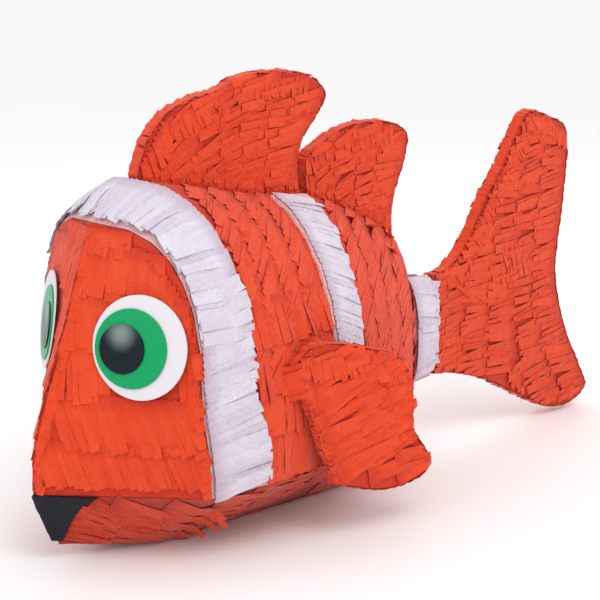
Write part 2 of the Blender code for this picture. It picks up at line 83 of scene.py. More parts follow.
def add_node(tree, kind, settings=None, inputs=None):
    """Adds a node, sets it up, and gives each input a value or another node's output."""
    node = tree.nodes.new(kind)
    for key, value in (settings or {}).items():
        setattr(node, key, value)
    for key, value in (inputs or {}).items():
        if isinstance(value, bpy.types.NodeSocket):
            tree.links.new(value, node.inputs[key])
        else:
            node.inputs[key].default_value = value
    return node


def new_material(name):
    """A material with an empty tree but for its output, and that tree."""
    made = bpy.data.materials.new(name)
    made.use_nodes = True
    made.node_tree.nodes.clear()
    return made, made.node_tree


def finish_material(tree, shader):
    add_node(tree, "ShaderNodeOutputMaterial", None, {"Surface": shader.outputs[0]})


table_paint, tree = new_material("matt_white_table")
grain = add_node(tree, "ShaderNodeTexNoise", None, {"Scale": 40.0})
tint = add_node(tree, "ShaderNodeMixRGB", None, {
    "Fac": grain.outputs[0], "Color1": linear("F4F4F4"), "Color2": linear("FAFAFA"),
})
finish_material(tree, add_node(tree, "ShaderNodeBsdfPrincipled", None, {
    "Base Color": tint.outputs[0], "Roughness": 0.9,
}))

work = bmesh.new()
bmesh.ops.create_grid(work, x_segments=1, y_segments=1, size=TABLE_SIZE)
floor_mesh = bpy.data.meshes.new("table")
work.to_mesh(floor_mesh)
work.free()
floor = bpy.data.objects.new("table", floor_mesh)
floor.location.z = -TABLE_DROP
floor_mesh.materials.append(table_paint)
bpy.context.scene.collection.objects.link(floor)

world = bpy.data.worlds.new("white_room")
world.use_nodes = True
world.node_tree.nodes["Background"].inputs["Color"].default_value = (1, 1, 1, 1)
world.node_tree.nodes["Background"].inputs["Strength"].default_value = 1.0
bpy.context.scene.world = world
bpy.context.scene.view_settings.view_transform = "Standard"


def soft_light(name, place, aim, size, power):
    lamp = bpy.data.lights.new(name, "AREA")
    lamp.shape = "RECTANGLE"
    lamp.size, lamp.size_y = size
    lamp.energy = power
    made = bpy.data.objects.new(name, lamp)
    made.location = place
    made.rotation_euler = (Vector(aim) - Vector(place)).to_track_quat("-Z", "Y").to_euler()
    bpy.context.scene.collection.objects.link(made)


soft_light("over_shoulder", (-0.35, -1.1, 1.5), (0, 0, 0.12), (0.9, 0.7), 8)
soft_light("in_front", (-1.6, -0.25, 0.75), (-0.2, 0, 0.15), (0.8, 0.8), 2)
soft_light("behind_tail", (1.0, 0.9, 1.2), (0.1, 0, 0.15), (0.8, 0.8), 3)


# -------------------- the card shell and the fins' card
# Brown corrugated card, bent and taped into a hollow fish. It shows only through the flap, as a
# dull kraft surface with faint flutes 5 mm apart and short darker fibres.

FLUTE_PITCH = 5 * MM

kraft, tree = new_material("brown_kraft_card")
place = add_node(tree, "ShaderNodeTexCoord")
flutes = add_node(tree, "ShaderNodeTexWave", {"bands_direction": "X"}, {
    "Vector": place.outputs["Object"], "Scale": 1 / (FLUTE_PITCH * 3.2), "Distortion": 1.5,
})
fibres = add_node(tree, "ShaderNodeTexNoise", None, {
    "Vector": place.outputs["Object"], "Scale": 700.0, "Detail": 4.0, "Distortion": 2.0,
})
mottle = add_node(tree, "ShaderNodeMixRGB", None, {
    "Fac": fibres.outputs[0], "Color1": linear("8E6B47"), "Color2": linear("B99166"),
})
relief = add_node(tree, "ShaderNodeBump", None, {
    "Strength": 0.25, "Distance": 0.3 * MM, "Height": flutes.outputs["Color"],
})
finish_material(tree, add_node(tree, "ShaderNodeBsdfPrincipled", None, {
    "Base Color": mottle.outputs[0], "Roughness": 0.88, "Normal": relief.outputs[0],
}))
for name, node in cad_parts.items():
    if "_card" in name:
        node.data.materials.clear()
        node.data.materials.append(kraft)


# -------------------- the crepe paper
# Party crepe paper, a soft matt tissue with fine crinkles across it. Each cut strip catches the
# light a little differently, has painted shade near its header, where it is tucked under the row
# above, and is crinkled finely. The crinkles are drawn 2 mm apart, coarser than the real half
# millimetre, so that they show.

CRINKLE_PITCH = 2.0 * MM
CREASE_PITCH = 7 * MM
MOTTLE_SIZE = 18 * MM


def crepe_paper(name, painted_shade_colour, body, light, roughness=0.82):
    made, tree = new_material(name)
    place = add_node(tree, "ShaderNodeTexCoord")
    lot = add_node(tree, "ShaderNodeAttribute", {"attribute_name": "lot"})
    strip_at = add_node(tree, "ShaderNodeAttribute", {"attribute_name": "strip_at"})
    lots = add_node(tree, "ShaderNodeSeparateXYZ", None, {0: lot.outputs["Vector"]})
    along = add_node(tree, "ShaderNodeSeparateXYZ", None, {0: strip_at.outputs["Vector"]})
    mottle = add_node(tree, "ShaderNodeTexNoise", None, {
        "Vector": place.outputs["Object"], "Scale": 1 / MOTTLE_SIZE, "Detail": 3.0,
    })
    per_strip = add_node(tree, "ShaderNodeMapRange", None, {
        0: lots.outputs["Y"], 1: -1.0, 2: 1.0, 3: 0.2, 4: 0.8,
    })
    blend = add_node(tree, "ShaderNodeMath", {"operation": "ADD"}, {
        0: per_strip.outputs[0], 1: mottle.outputs[0],
    })
    shade = add_node(tree, "ShaderNodeMapRange", None, {
        0: blend.outputs[0], 1: 0.55, 2: 1.45, 3: 0.0, 4: 1.0,
    })
    tone = add_node(tree, "ShaderNodeMixRGB", None, {
        "Fac": shade.outputs[0], "Color1": linear(body), "Color2": linear(light),
    })
    # Painted shade: each strip is mixed towards its darkest colour over the first 0.3 of its length from the
    # header, where the row above covers it.
    tucked = add_node(tree, "ShaderNodeMapRange", None, {
        0: along.outputs["Y"], 1: 0.0, 2: 0.3, 3: 0.8, 4: 0.0,
    })
    colour = add_node(tree, "ShaderNodeMixRGB", None, {
        "Fac": tucked.outputs[0], "Color1": tone.outputs[0], "Color2": linear(painted_shade_colour),
    })
    crinkle = add_node(tree, "ShaderNodeTexNoise", None, {
        "Vector": place.outputs["Object"], "Scale": 1 / CRINKLE_PITCH, "Detail": 3.0, "Distortion": 0.8,
    })
    creases = add_node(tree, "ShaderNodeTexNoise", None, {
        "Vector": place.outputs["Object"], "Scale": 1 / CREASE_PITCH, "Detail": 2.0, "Distortion": 1.2,
    })
    height = add_node(tree, "ShaderNodeMath", {"operation": "MULTIPLY_ADD"}, {
        0: creases.outputs[0], 1: 2.0, 2: crinkle.outputs[0],
    })
    relief = add_node(tree, "ShaderNodeBump", None, {
        "Strength": 0.9, "Distance": 0.9 * MM, "Height": height.outputs[0],
    })
    finish_material(tree, add_node(tree, "ShaderNodeBsdfPrincipled", None, {
        "Base Color": colour.outputs[0], "Roughness": roughness, "Normal": relief.outputs[0],
        "Specular IOR Level": 0.3, "Sheen Weight": 0.15, "Sheen Roughness": 0.5,
    }))
    return made


# The first colour of each paper is its painted shade, used near the strips' headers.
orange = crepe_paper("orange_crepe_paper", "C22A0A", "D6370E", "E2481C")
# A darker copy of the orange paper: painted shade for the underside, the belly and the flap, which face down.
orange_painted_shade = crepe_paper("orange_crepe_paper_painted_shade_underside", "A3240E", "BC3013", "CE4022")
white = crepe_paper("white_crepe_paper", "B7A0B2", "C6BBCA", "D9D1DE", 0.75)
pasted_white = crepe_paper("white_crepe_paper_pasted_on_orange", "DDA9AB", "DDB4BA", "E8CDD3", 0.75)


# -------------------- the surface that the fringe is glued to
# A first layer of crepe is pasted flat over the card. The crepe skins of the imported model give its
# shape. Rows of fringe are found on it with straight lines of sight from outside.

SKINS = [
    "head_crepe_left", "head_crepe_right", "flank_crepe_left", "flank_crepe_right", "head_band",
    "tail_band", "underside_crepe_left", "underside_crepe_right", "belly_crepe", "flap_crepe",
]


def merged(nodes):
    """A mesh of these CAD nodes, with the doubled corners of their triangles merged."""
    work = bmesh.new()
    for name in nodes:
        work.from_mesh(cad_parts[name].data)
    bmesh.ops.remove_doubles(work, verts=work.verts, dist=0.01 * MM)
    return work


def sight(nodes):
    work = merged(nodes)
    tree = BVHTree.FromBMesh(work)
    work.free()
    return tree


def form_of(name, nodes):
    """A hidden object that a fringe hugs."""
    work = merged(nodes)
    mesh = bpy.data.meshes.new(name)
    work.to_mesh(mesh)
    work.free()
    made = bpy.data.objects.new(name, mesh)
    bpy.context.scene.collection.objects.link(made)
    made.hide_render = True
    return made


body_form = form_of("body_form", SKINS)

FAR = 0.4
STEEPEST = -0.1
SHORTENED = 0.8
SHORTEST = 0.18
STILL_ON = 20 * MM


def trace(sightline, points, toward, hang, reach, keep_on=False):
    """A row of fringe: points, looked at from outside along toward, moved onto the surface.

    hang is the way the strips point, made tangent, and reach their length. With keep_on, strips
    that would run off the surface are shortened. Returns runs of (point, out, hang, reach, freedom).
    """
    toward = Vector(toward).normalized()
    runs = [[]]
    for point in points:
        found = sightline.ray_cast(Vector(point) - FAR * toward, toward, 2 * FAR)
        if found[0] is None or found[1].dot(toward) > STEEPEST:
            runs.append([])
            continue
        spot, out = found[0], found[1]
        way = Vector(hang) - Vector(hang).dot(out) * out
        if way.length < 0.05:
            runs.append([])
            continue
        way.normalize()
        length = reach
        if keep_on:
            for _ in range(8):
                ends = [spot + way * length * part for part in (0.5, 1.0)]
                seen = [sightline.ray_cast(end - FAR * toward, toward, 2 * FAR)[0] for end in ends]
                if all(hit is not None and (hit - end).length < STILL_ON for hit, end in zip(seen, ends)):
                    break
                length *= SHORTENED
            if length < SHORTEST * reach:
                runs.append([])
                continue
        runs[-1].append((spot, out, way, length, 1.0))
    return [run for run in runs if len(run) > 1]


def line(start, end, step=3 * MM):
    """Points from start to end."""
    start, end = Vector(start), Vector(end)
    count = max(2, int((end - start).length / step) + 1)
    return [start.lerp(end, k / (count - 1)) for k in range(count)]


def other_side(runs):
    """The same rows on the fish's right."""
    flip = Matrix.Diagonal((1, -1, 1))
    return [[(*[flip @ vector for vector in spot[:3]], *spot[3:]) for spot in run] for run in runs]


# -------------------- cut fringe
# Fringe is a folded band of crepe cut into strips that stay joined along one edge, the header,
# which is pasted down. The strips lift, curl and slant a little, each in its own way.

STRIP_PITCH = 4.4 * MM
STRIP_WIDTH = 6.6 * MM
PAPER_THICKNESS = 0.25 * MM
SECOND_LOT = 71
WIDTH_SPREAD = 0.22
HEADER_END = 0.1
HEADER_WIDENING = 0.3
TIP_TAPER = -0.05
TWIST = 0.3
RIPPLE_SIZE = 9 * MM
LAST_LAYER = 0.2 * MM
LET_GO_BY = 2.8

fringe_tree = bpy.data.node_groups.new("cut_fringe", "GeometryNodeTree")
fringe_tree.is_modifier = True
FRINGE_INPUTS = (
    ("Rows", "Geometry", None),
    ("Form", "Object", None),
    ("Paper", "Material", None),
    ("Strip Pitch", "Float", STRIP_PITCH),
    ("Strip Width", "Float", STRIP_WIDTH),
    ("Thickness", "Float", PAPER_THICKNESS),
    ("Length Spread", "Float", 0.05),
    ("Slant Spread", "Float", 0.035),
    ("Stand Off", "Float", 0.5 * MM),
    ("Lift", "Float", 0.7 * MM),
    ("Curl", "Float", 0.3 * MM),
    ("Bow", "Float", 0.8 * MM),
    ("Cup", "Float", 0.4 * MM),
    ("Crumple", "Float", 0.75 * MM),
    ("Shingle", "Float", 0.5 * MM),
    ("Let Go", "Float", 5 * MM),
    ("Seed", "Int", 1),
)
fringe_sockets = {}
for name, kind, value in FRINGE_INPUTS:
    socket = fringe_tree.interface.new_socket(name, in_out="INPUT", socket_type="NodeSocket" + kind)
    if value is not None:
        socket.default_value = value
    fringe_sockets[name] = socket.identifier
fringe_tree.interface.new_socket("Fringe", in_out="OUTPUT", socket_type="NodeSocketGeometry")


def fringe_node(kind, settings=None, inputs=None):
    return add_node(fringe_tree, kind, settings, inputs)


def live(sockets, name=None):
    """The sockets in use, of this name if one is given."""
    return [socket for socket in sockets if socket.enabled and name in (None, socket.name)]


def calc(operation, *values):
    """One step of arithmetic in the fringe's tree."""
    return fringe_node("ShaderNodeMath", {"operation": operation}, dict(enumerate(values))).outputs[0]


def times(product, *values):
    for value in values:
        product = calc("MULTIPLY", product, value)
    return product


def add_vectors(first, second):
    return fringe_node("ShaderNodeVectorMath", {"operation": "ADD"}, {0: first, 1: second}).outputs[0]


def scaled(vector, by):
    return fringe_node("ShaderNodeVectorMath", {"operation": "SCALE"}, {0: vector, "Scale": by}).outputs[0]


def read(name, kind="FLOAT_VECTOR"):
    """A named attribute of the fringe."""
    made = fringe_node("GeometryNodeInputNamedAttribute", {"data_type": kind}, {"Name": name})
    return live(made.outputs)[0]


def keep(geometry, name, value):
    """Stores a vector for each point under this name."""
    made = fringe_node("GeometryNodeStoreNamedAttribute", {"data_type": "FLOAT_VECTOR", "domain": "POINT"}, {
        "Geometry": geometry, "Name": name,
    })
    fringe_tree.links.new(value, live(made.inputs, "Value")[0])
    return made.outputs[0]


def parts(vector):
    return fringe_node("ShaderNodeSeparateXYZ", None, {0: vector}).outputs


def draw_lot(seed):
    """Three random numbers from -1 to 1 for each strip."""
    made = fringe_node("FunctionNodeRandomValue", {"data_type": "FLOAT_VECTOR"}, {
        0: (-1, -1, -1), 1: (1, 1, 1), "Seed": seed,
    })
    return made.outputs[0]


given = fringe_node("NodeGroupInput").outputs
row_curves = fringe_node("GeometryNodeMeshToCurve", None, {"Mesh": given["Rows"]})
roots = fringe_node("GeometryNodeResampleCurve", {"mode": "LENGTH"}, {
    "Curve": row_curves.outputs[0], "Length": given["Strip Pitch"],
}).outputs[0]
roots = keep(roots, "lot", draw_lot(given["Seed"]))
roots = keep(roots, "lot_b", draw_lot(calc("ADD", given["Seed"], SECOND_LOT)))

flat_strip = fringe_node("GeometryNodeMeshCube", None, {
    "Size": (1, 1, 1), "Vertices X": 3, "Vertices Y": 7, "Vertices Z": 2,
})
flat_strip = fringe_node("GeometryNodeSetPosition", None, {
    "Geometry": flat_strip.outputs[0], "Offset": (0, 0.5, 0),
}).outputs[0]
here = fringe_node("GeometryNodeInputPosition").outputs[0]
flat_strip = keep(flat_strip, "strip_at", here)

lot = parts(read("lot"))
lot_b = parts(read("lot_b"))
facing = fringe_node("FunctionNodeAxesToRotation", {"primary_axis": "Z", "secondary_axis": "Y"}, {
    0: read("out"), 1: read("hang"),
})
slant = fringe_node("FunctionNodeAxisAngleToRotation", None, {
    "Axis": (0, 0, 1), "Angle": times(lot["X"], given["Slant Spread"]),
})
turned = fringe_node("FunctionNodeRotateRotation", {"rotation_space": "LOCAL"}, {
    0: facing.outputs[0], 1: slant.outputs[0],
})
wide = times(given["Strip Width"], calc("MULTIPLY_ADD", lot["Y"], WIDTH_SPREAD, 1.0))
long = times(read("reach", "FLOAT"), calc("MULTIPLY_ADD", lot["Z"], given["Length Spread"], 1.0))
size = fringe_node("ShaderNodeCombineXYZ", None, {0: wide, 1: long, 2: given["Thickness"]})
strips = fringe_node("GeometryNodeInstanceOnPoints", None, {
    "Points": roots, "Instance": flat_strip, "Rotation": turned.outputs[0], "Scale": size.outputs[0],
})
strips = fringe_node("GeometryNodeRealizeInstances", None, {0: strips.outputs[0]}).outputs[0]

strip_at = parts(read("strip_at"))
out = read("out")
aside = fringe_node("ShaderNodeVectorMath", {"operation": "CROSS_PRODUCT"}, {0: read("hang"), 1: out})
run_squared = calc("POWER", strip_at["Y"], 2.0)
header = calc("LESS_THAN", strip_at["Y"], HEADER_END)
through = times(strip_at["Z"], given["Thickness"])
bow = times(lot_b["Y"], given["Bow"], run_squared)
widen = times(strip_at["X"], header, times(given["Strip Width"], HEADER_WIDENING))
taper = times(strip_at["X"], run_squared, times(given["Strip Width"], TIP_TAPER))
sideways = calc("ADD", bow, calc("ADD", taper, widen))
moved = add_vectors(here, scaled(aside.outputs[0], sideways))
flat_place = add_vectors(moved, scaled(out, times(through, -1)))

ripple = fringe_node("ShaderNodeTexNoise", {"noise_dimensions": "4D"}, {
    "Vector": here, "W": times(lot["Y"], 1.5), "Scale": 1 / RIPPLE_SIZE, "Detail": 1.0,
})
rippled = times(calc("SUBTRACT", ripple.outputs[0], 0.5), times(given["Crumple"], 2.0))
lifted = times(given["Lift"], calc("POWER", strip_at["Y"], 1.3), calc("MULTIPLY_ADD", lot_b["X"], 0.35, 0.8))
curled = times(lot_b["Z"], given["Curl"], calc("POWER", strip_at["Y"], 3.0))
from_edge = calc("SUBTRACT", 0.5, calc("ABSOLUTE", strip_at["X"]))
cupped = times(given["Cup"], from_edge, calc("ADD", lot["Z"], 0.5))
twisted = times(strip_at["X"], times(lot["X"], strip_at["Y"]), times(given["Strip Width"], TWIST))
layered = times(calc("MULTIPLY_ADD", lot_b["X"], 0.2, 0.2), 1 * MM)
loft = times(strip_at["X"], given["Shingle"])
for part in (rippled, lifted, curled, cupped, twisted, layered):
    loft = calc("ADD", loft, part)
loft = times(loft, read("freedom", "FLOAT"))
height = calc("ADD", calc("ADD", given["Stand Off"], through), loft)
height = calc("MAXIMUM", height, calc("ADD", through, LAST_LAYER))

form = fringe_node("GeometryNodeObjectInfo", {"transform_space": "ORIGINAL"}, {"Object": given["Form"]})
nearest = fringe_node("GeometryNodeProximity", {"target_element": "FACES"}, {
    0: form.outputs["Geometry"], "Sample Position": flat_place,
})
sampled = fringe_node("GeometryNodeSampleNearestSurface", {"data_type": "FLOAT_VECTOR"}, {
    "Mesh": form.outputs["Geometry"], "Sample Position": flat_place,
})
fringe_tree.links.new(fringe_node("GeometryNodeInputNormal").outputs[0], live(sampled.inputs, "Value")[0])
form_out = live(sampled.outputs, "Value")[0]
loose = fringe_node("ShaderNodeMapRange", {"interpolation_type": "SMOOTHSTEP"}, {
    0: nearest.outputs["Distance"], 1: given["Let Go"], 2: times(given["Let Go"], LET_GO_BY),
    3: 0.0, 4: 1.0,
})
place = fringe_node("ShaderNodeMix", {"data_type": "VECTOR"})
for name, value in (
    ("Factor", loose.outputs[0]),
    ("A", add_vectors(nearest.outputs["Position"], scaled(form_out, height))),
    ("B", add_vectors(flat_place, scaled(out, height))),
):
    fringe_tree.links.new(value, live(place.inputs, name)[0])
strips = fringe_node("GeometryNodeSetPosition", None, {
    "Geometry": strips, "Position": live(place.outputs)[0],
}).outputs[0]
papered = fringe_node("GeometryNodeSetMaterial", None, {0: strips, "Material": given["Paper"]})
fringe_node("NodeGroupOutput", None, {0: papered.outputs[0]})


def fringe(runs, paper, form, seed, **sizes):
    """Strips of fringe along these rows, as a mesh."""
    points = []
    edges = []
    for run in runs:
        edges += [(len(points) + k, len(points) + k + 1) for k in range(len(run) - 1)]
        points += run
    mesh = bpy.data.meshes.new("rows")
    mesh.from_pydata([p[0] for p in points], edges, [])
    for name, index in (("out", 1), ("hang", 2)):
        stored = mesh.attributes.new(name, "FLOAT_VECTOR", "POINT")
        stored.data.foreach_set("vector", [value for p in points for value in p[index]])
    for name, index in (("reach", 3), ("freedom", 4)):
        stored = mesh.attributes.new(name, "FLOAT", "POINT")
        stored.data.foreach_set("value", [p[index] for p in points])
    holder = bpy.data.objects.new("rows", mesh)
    bpy.context.scene.collection.objects.link(holder)
    modifier = holder.modifiers.new("cut_fringe", "NODES")
    modifier.node_group = fringe_tree
    for name, value in {"Form": form, "Paper": paper, "Seed": seed, **sizes}.items():
        modifier[fringe_sockets[name]] = value
    graph = bpy.context.evaluated_depsgraph_get()
    graph.update()
    made = bpy.data.meshes.new_from_object(holder.evaluated_get(graph), depsgraph=graph)
    bpy.data.objects.remove(holder)
    return made


def skin(nodes, paper, puff=0.3 * MM, step=12 * MM, rise_by=0.0):
    """The pasted layer under a fringe: the CAD skin, cut finer and slightly crumpled."""
    work = merged(nodes)
    for _ in range(3):
        long_edges = [edge for edge in work.edges if edge.calc_length() > step]
        if long_edges:
            bmesh.ops.subdivide_edges(work, edges=long_edges, cuts=1, use_grid_fill=False)
    bmesh.ops.triangulate(work, faces=work.faces)
    work.normal_update()
    for corner in work.verts:
        rise = noise.noise(corner.co / (11 * MM)) + 0.6 * noise.noise(corner.co / (4 * MM))
        corner.co += corner.normal * ((rise - 1) * puff + rise_by)
    mesh = bpy.data.meshes.new("skin")
    work.to_mesh(mesh)
    work.free()
    mesh.materials.append(paper)
    return mesh


def piece(name, meshes, body="shell"):
    """One object of these meshes, which rides on a body."""
    parts_made = []
    for mesh in meshes:
        made = bpy.data.objects.new(name, mesh)
        bpy.context.scene.collection.objects.link(made)
        parts_made.append(made)
    whole = parts_made[0]
    if len(parts_made) > 1:
        with bpy.context.temp_override(
            active_object=whole, object=whole,
            selected_objects=parts_made, selected_editable_objects=parts_made,
        ):
            bpy.ops.object.join()
    whole.name = name
    whole.data.name = name
    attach(whole, body)
    return whole


# -------------------- the head
# Rows of orange fringe hang down on both sides of the face, each over the one below, and meet in
# a crease down the middle of the nose. They were pasted from the lip upwards.

HEAD_ROWS = (
    (222, 205, 0), (210, 178, 2), (183, 145, 4), (150, 112, 8), (117, 81, 22), (86, 48.5, 18),
)
HEAD_LEAN = 1.06
NOSE_AT = -0.30
FACE_WAY = Vector((0.44, -0.90, 0)).normalized()
FACE_OUT = Vector((-0.90, -0.44, 0)).normalized()

NOSE_TO_MIDDLE = 237 * MM
AXIS_HEIGHT = 100
SCAN_ANGLES = [1, *range(3, 180, 3)]
SCAN = range(-40, 330)
FACES_AXIS = 0.25
EDGE_INSET = 1.5
TUCKED_REACH = 34 * MM
CREASE_REACH = 22 * MM
NOSE_Z = (48, 66, 150, 225)
NOSE_X = (-50, -50.5, -24, 0)


def at(station, height):
    """A point of the middle plane, so far behind the nose and above the table, in millimetres."""
    return Vector((station * MM - NOSE_TO_MIDDLE, 0, height * MM))


def outwards(angle):
    """The way out from the body's axis on the left, at this angle from straight up."""
    return Vector((0, -math.sin(angle), math.cos(angle)))


def band_edges(sightline):
    """The front and rear edges of a band as (angle round the body, station), found by looking inwards."""
    front, rear = [], []
    for angle_deg in SCAN_ANGLES:
        away = outwards(math.radians(angle_deg))
        seen = []
        for x in SCAN:
            hit, normal, _, _ = sightline.ray_cast(at(x, AXIS_HEIGHT) + away * FAR, -away, FAR)
            if hit is not None and normal.dot(away) > FACES_AXIS:
                seen.append(x)
        if len(seen) > 3:
            front.append((angle_deg, seen[0] + EDGE_INSET))
            rear.append((angle_deg, seen[-1] - EDGE_INSET))
    return front, rear


def level_row(sightline, levels, hang, reach):
    """A row through (angle round the body, station) levels on the left, all hanging one way."""
    runs = [[]]
    for angle_deg, station in levels:
        angle = math.radians(angle_deg)
        away = outwards(angle)
        spot = at(station, AXIS_HEIGHT) + away * 0.01
        way = hang(angle) if callable(hang) else hang
        found = trace(sightline, [spot, spot + Vector((0.0001, 0, 0))], -away, way, reach, True)
        if found:
            runs[-1].append(found[0][0])
        else:
            runs.append([])
    return [run for run in runs if len(run) > 1]


head_sight = sight(["head_crepe_left"])
head_band_sight = sight(["head_band"])
head_band_front, head_band_rear = band_edges(head_band_sight)
crease = [
    at(float(np.interp(height, NOSE_Z, NOSE_X)), height) + FACE_WAY * 4 * MM
    for height in range(216, 52, -4)
]
tucked = [(angle, x - 4) for angle, x in head_band_front if 10 < angle < 105]
head_runs = level_row(head_sight, tucked, (0, 0, -1), TUCKED_REACH)
head_runs += trace(head_sight, crease, -FACE_OUT, (-0.3, 0, -1), CREASE_REACH, True)
for top, bottom, slant_deg in HEAD_ROWS:
    start = Vector((NOSE_AT, 0.0, top * MM))
    angle = math.radians(slant_deg)
    way = Vector((0, 0, -1)) * math.cos(angle) + FACE_WAY * math.sin(angle)
    head_runs += trace(
        head_sight, line(start - FACE_WAY * 0.01, start + FACE_WAY * 0.2), -FACE_OUT, way,
        (top - bottom) * MM * HEAD_LEAN / math.cos(angle), True,
    )


def disc_place(node):
    """The centre, outward direction, radius and half thickness of an eye's disc."""
    work = merged([node])
    cap = max(work.faces, key=lambda face: face.calc_area() * (1 if face.normal.x < 0 else 0))
    out = cap.normal.copy()
    centre = sum((corner.co for corner in work.verts), Vector()) / len(work.verts)
    radius = max((corner.co - centre).cross(out).length for corner in work.verts)
    depth = max((corner.co - centre).dot(out) for corner in work.verts)
    work.free()
    return centre, out, radius, depth


EYE_COVERS = 8 * MM
EYE_MARGIN = 1.5 * MM
PRESSED_BY_EYE = 0.12
eye_centre, eye_out, eye_radius, _ = disc_place("eye_white_left")


def under_eye(spot):
    """Presses flat the strips that run under the eye, and leaves out those that start well under it."""
    point, out, way, length, freedom = spot
    near = min((point + way * length * part - eye_centre).cross(eye_out).length
               for part in (0, 0.25, 0.5, 0.75, 1))
    if (point - eye_centre).cross(eye_out).length < eye_radius - EYE_COVERS:
        return None
    return (point, out, way, length, PRESSED_BY_EYE if near < eye_radius + EYE_MARGIN else freedom)


def split_where_none(runs, change):
    """These rows with each spot changed, cut where the change leaves a spot out."""
    found = []
    for run in runs:
        found.append([])
        for spot in run:
            changed = change(spot)
            if changed is None:
                found.append([])
            else:
                found[-1].append(changed)
    return [run for run in found if len(run) > 1]


head_runs = split_where_none(head_runs, under_eye)
for side, runs, seed in (("left", head_runs, 11), ("right", other_side(head_runs), 12)):
    node = "head_crepe_" + side
    made = piece("head_fringe_" + side, [
        fringe(runs, orange, body_form, seed), skin([node], orange),
    ])
    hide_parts(node)


# -------------------- the body
# Behind the head band the fringe runs round the body in rings, each with its strips drooping
# towards the head. Low on the flank, in front of the side fin, it hangs in level rows of wide strips.

BEHIND_FINS = 276
FLANK_FRONT = 60
RING_FIRST = 70
RING_LAST = 290
RING_PITCH = 21.5
RING_REACH = 31 * MM
RING_DROOP = Vector((-0.62, 0, -0.78))
LOW_ROWS = ((177, 145), (150, 112), (118, 84), (90, 50))
LOW_ROWS_END = 132
LOW_ROWS_LAP = 1.04


def ring(station, first_angle, last_angle):
    """A row round the left of the body at a station, drooping towards the head."""
    levels = [(first_angle + (last_angle - first_angle) * k / 60, station) for k in range(61)]
    return level_row(flank_sight, levels, lambda angle: Vector((
        RING_DROOP.x, math.cos(angle) * RING_DROOP.z, math.sin(angle) * RING_DROOP.z,
    )), RING_REACH)


flank_sight = sight(["flank_crepe_left"])
flank_runs = []
station = RING_LAST
while station > RING_FIRST:
    low_end = 68 if station < LOW_ROWS_END else 160
    flank_runs += ring(station, 3 if station < BEHIND_FINS else 0.5, low_end)
    station -= RING_PITCH
low_runs = []
for top, bottom in LOW_ROWS:
    points = line(at(FLANK_FRONT, top), at(LOW_ROWS_END + 4, top))
    low_runs += trace(flank_sight, points, (0, 1, 0), (0.08, 0, -1), (top - bottom) * MM * LOW_ROWS_LAP, True)
for side, rings, rows, seed in (
    ("left", flank_runs, low_runs, 21), ("right", other_side(flank_runs), other_side(low_runs), 24),
):
    node = "flank_crepe_" + side
    made = piece("flank_fringe_" + side, [
        fringe(rings, orange, body_form, seed, **{
            "Length Spread": 0.1, "Slant Spread": 0.06, "Lift": 0.45 * MM, "Shingle": 0.3 * MM,
        }),
        fringe(rows, orange, body_form, seed + 1, **{
            "Strip Pitch": 7 * MM, "Strip Width": 10 * MM, "Lift": 1.6 * MM, "Crumple": 1.2 * MM,
        }),
        skin([node], orange),
    ])
    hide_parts(node)


# -------------------- the white bands
# White crepe fringe over the orange: one band round the head, a short one on each flank below
# the back fins, and one round the root of the tail. Some orange shows pink through the thin paper.

BAND_STAND_OFF = 2.2 * MM
LONGEST_CROSSING = 2.2
TAIL_BAND_COVER = 1.35


def band_rows(sightline, starts, ends, lean, cover):
    """A row of strips that cross a band from starts to ends, each (angle round the body, station)."""
    run = []
    for angle_deg, station in starts:
        angle = math.radians(angle_deg)
        away = outwards(angle)
        down = Vector((0, -math.cos(angle), -math.sin(angle)))
        finish = float(np.interp(angle_deg, [level[0] for level in ends], [level[1] for level in ends]))
        hits = [
            sightline.ray_cast(at(x, AXIS_HEIGHT) + away * FAR, -away, 2 * FAR)
            for x in (station, finish)
        ]
        if hits[0][0] is None or hits[1][0] is None:
            continue
        across = hits[1][0] - hits[0][0]
        if across.length > LONGEST_CROSSING * abs(finish - station) * MM:
            continue
        way = across + down * lean * across.length
        way = way - way.dot(hits[0][1]) * hits[0][1]
        run.append((hits[0][0], hits[0][1], way.normalized(), across.length * cover, 1.0))
    return [run] if len(run) > 1 else []


def finer(levels, count=8):
    """Levels with more between them."""
    found = []
    for (angle_a, x_a), (angle_b, x_b) in zip(levels, levels[1:]):
        for k in range(count):
            t = k / count
            found.append((angle_a + (angle_b - angle_a) * t, x_a + (x_b - x_a) * t))
    found.append(levels[-1])
    return found


upper_front = [(a, x) for a, x in head_band_rear if a < 58]
lower_front = [(a, x) for a, x in head_band_front if a >= 44]
band_runs = band_rows(head_band_sight, finer(upper_front), head_band_front, 0.0, 1.0)
band_runs += band_rows(head_band_sight, finer(lower_front), head_band_rear, -0.22, 1.06)
WHITE = {
    "Stand Off": BAND_STAND_OFF, "Lift": 0.6 * MM, "Curl": 0.5 * MM, "Crumple": 0.6 * MM,
    "Slant Spread": 0.04, "Length Spread": 0.05, "Shingle": 0.4 * MM, "Strip Width": 8 * MM,
}
made = piece("head_band_fringe", [
    fringe(band_runs + other_side(band_runs), white, body_form, 31, **WHITE),
    skin(["head_band"], pasted_white),
])
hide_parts("head_band")

mid_sight = sight(["mid_band_left"])
front, rear = band_edges(mid_sight)
mid_runs = band_rows(mid_sight, finer(front), rear, 0.25, 1.06)
for side, runs, seed in (("left", mid_runs, 32), ("right", other_side(mid_runs), 33)):
    node = "mid_band_" + side
    made = piece(node + "_fringe", [
        fringe(runs, white, body_form, seed, **{**WHITE, "Stand Off": 3.7 * MM, "Length Spread": 0.1}),
        skin([node], pasted_white, 0.1 * MM, 12 * MM, 1.2 * MM),
    ])
    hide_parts(node)

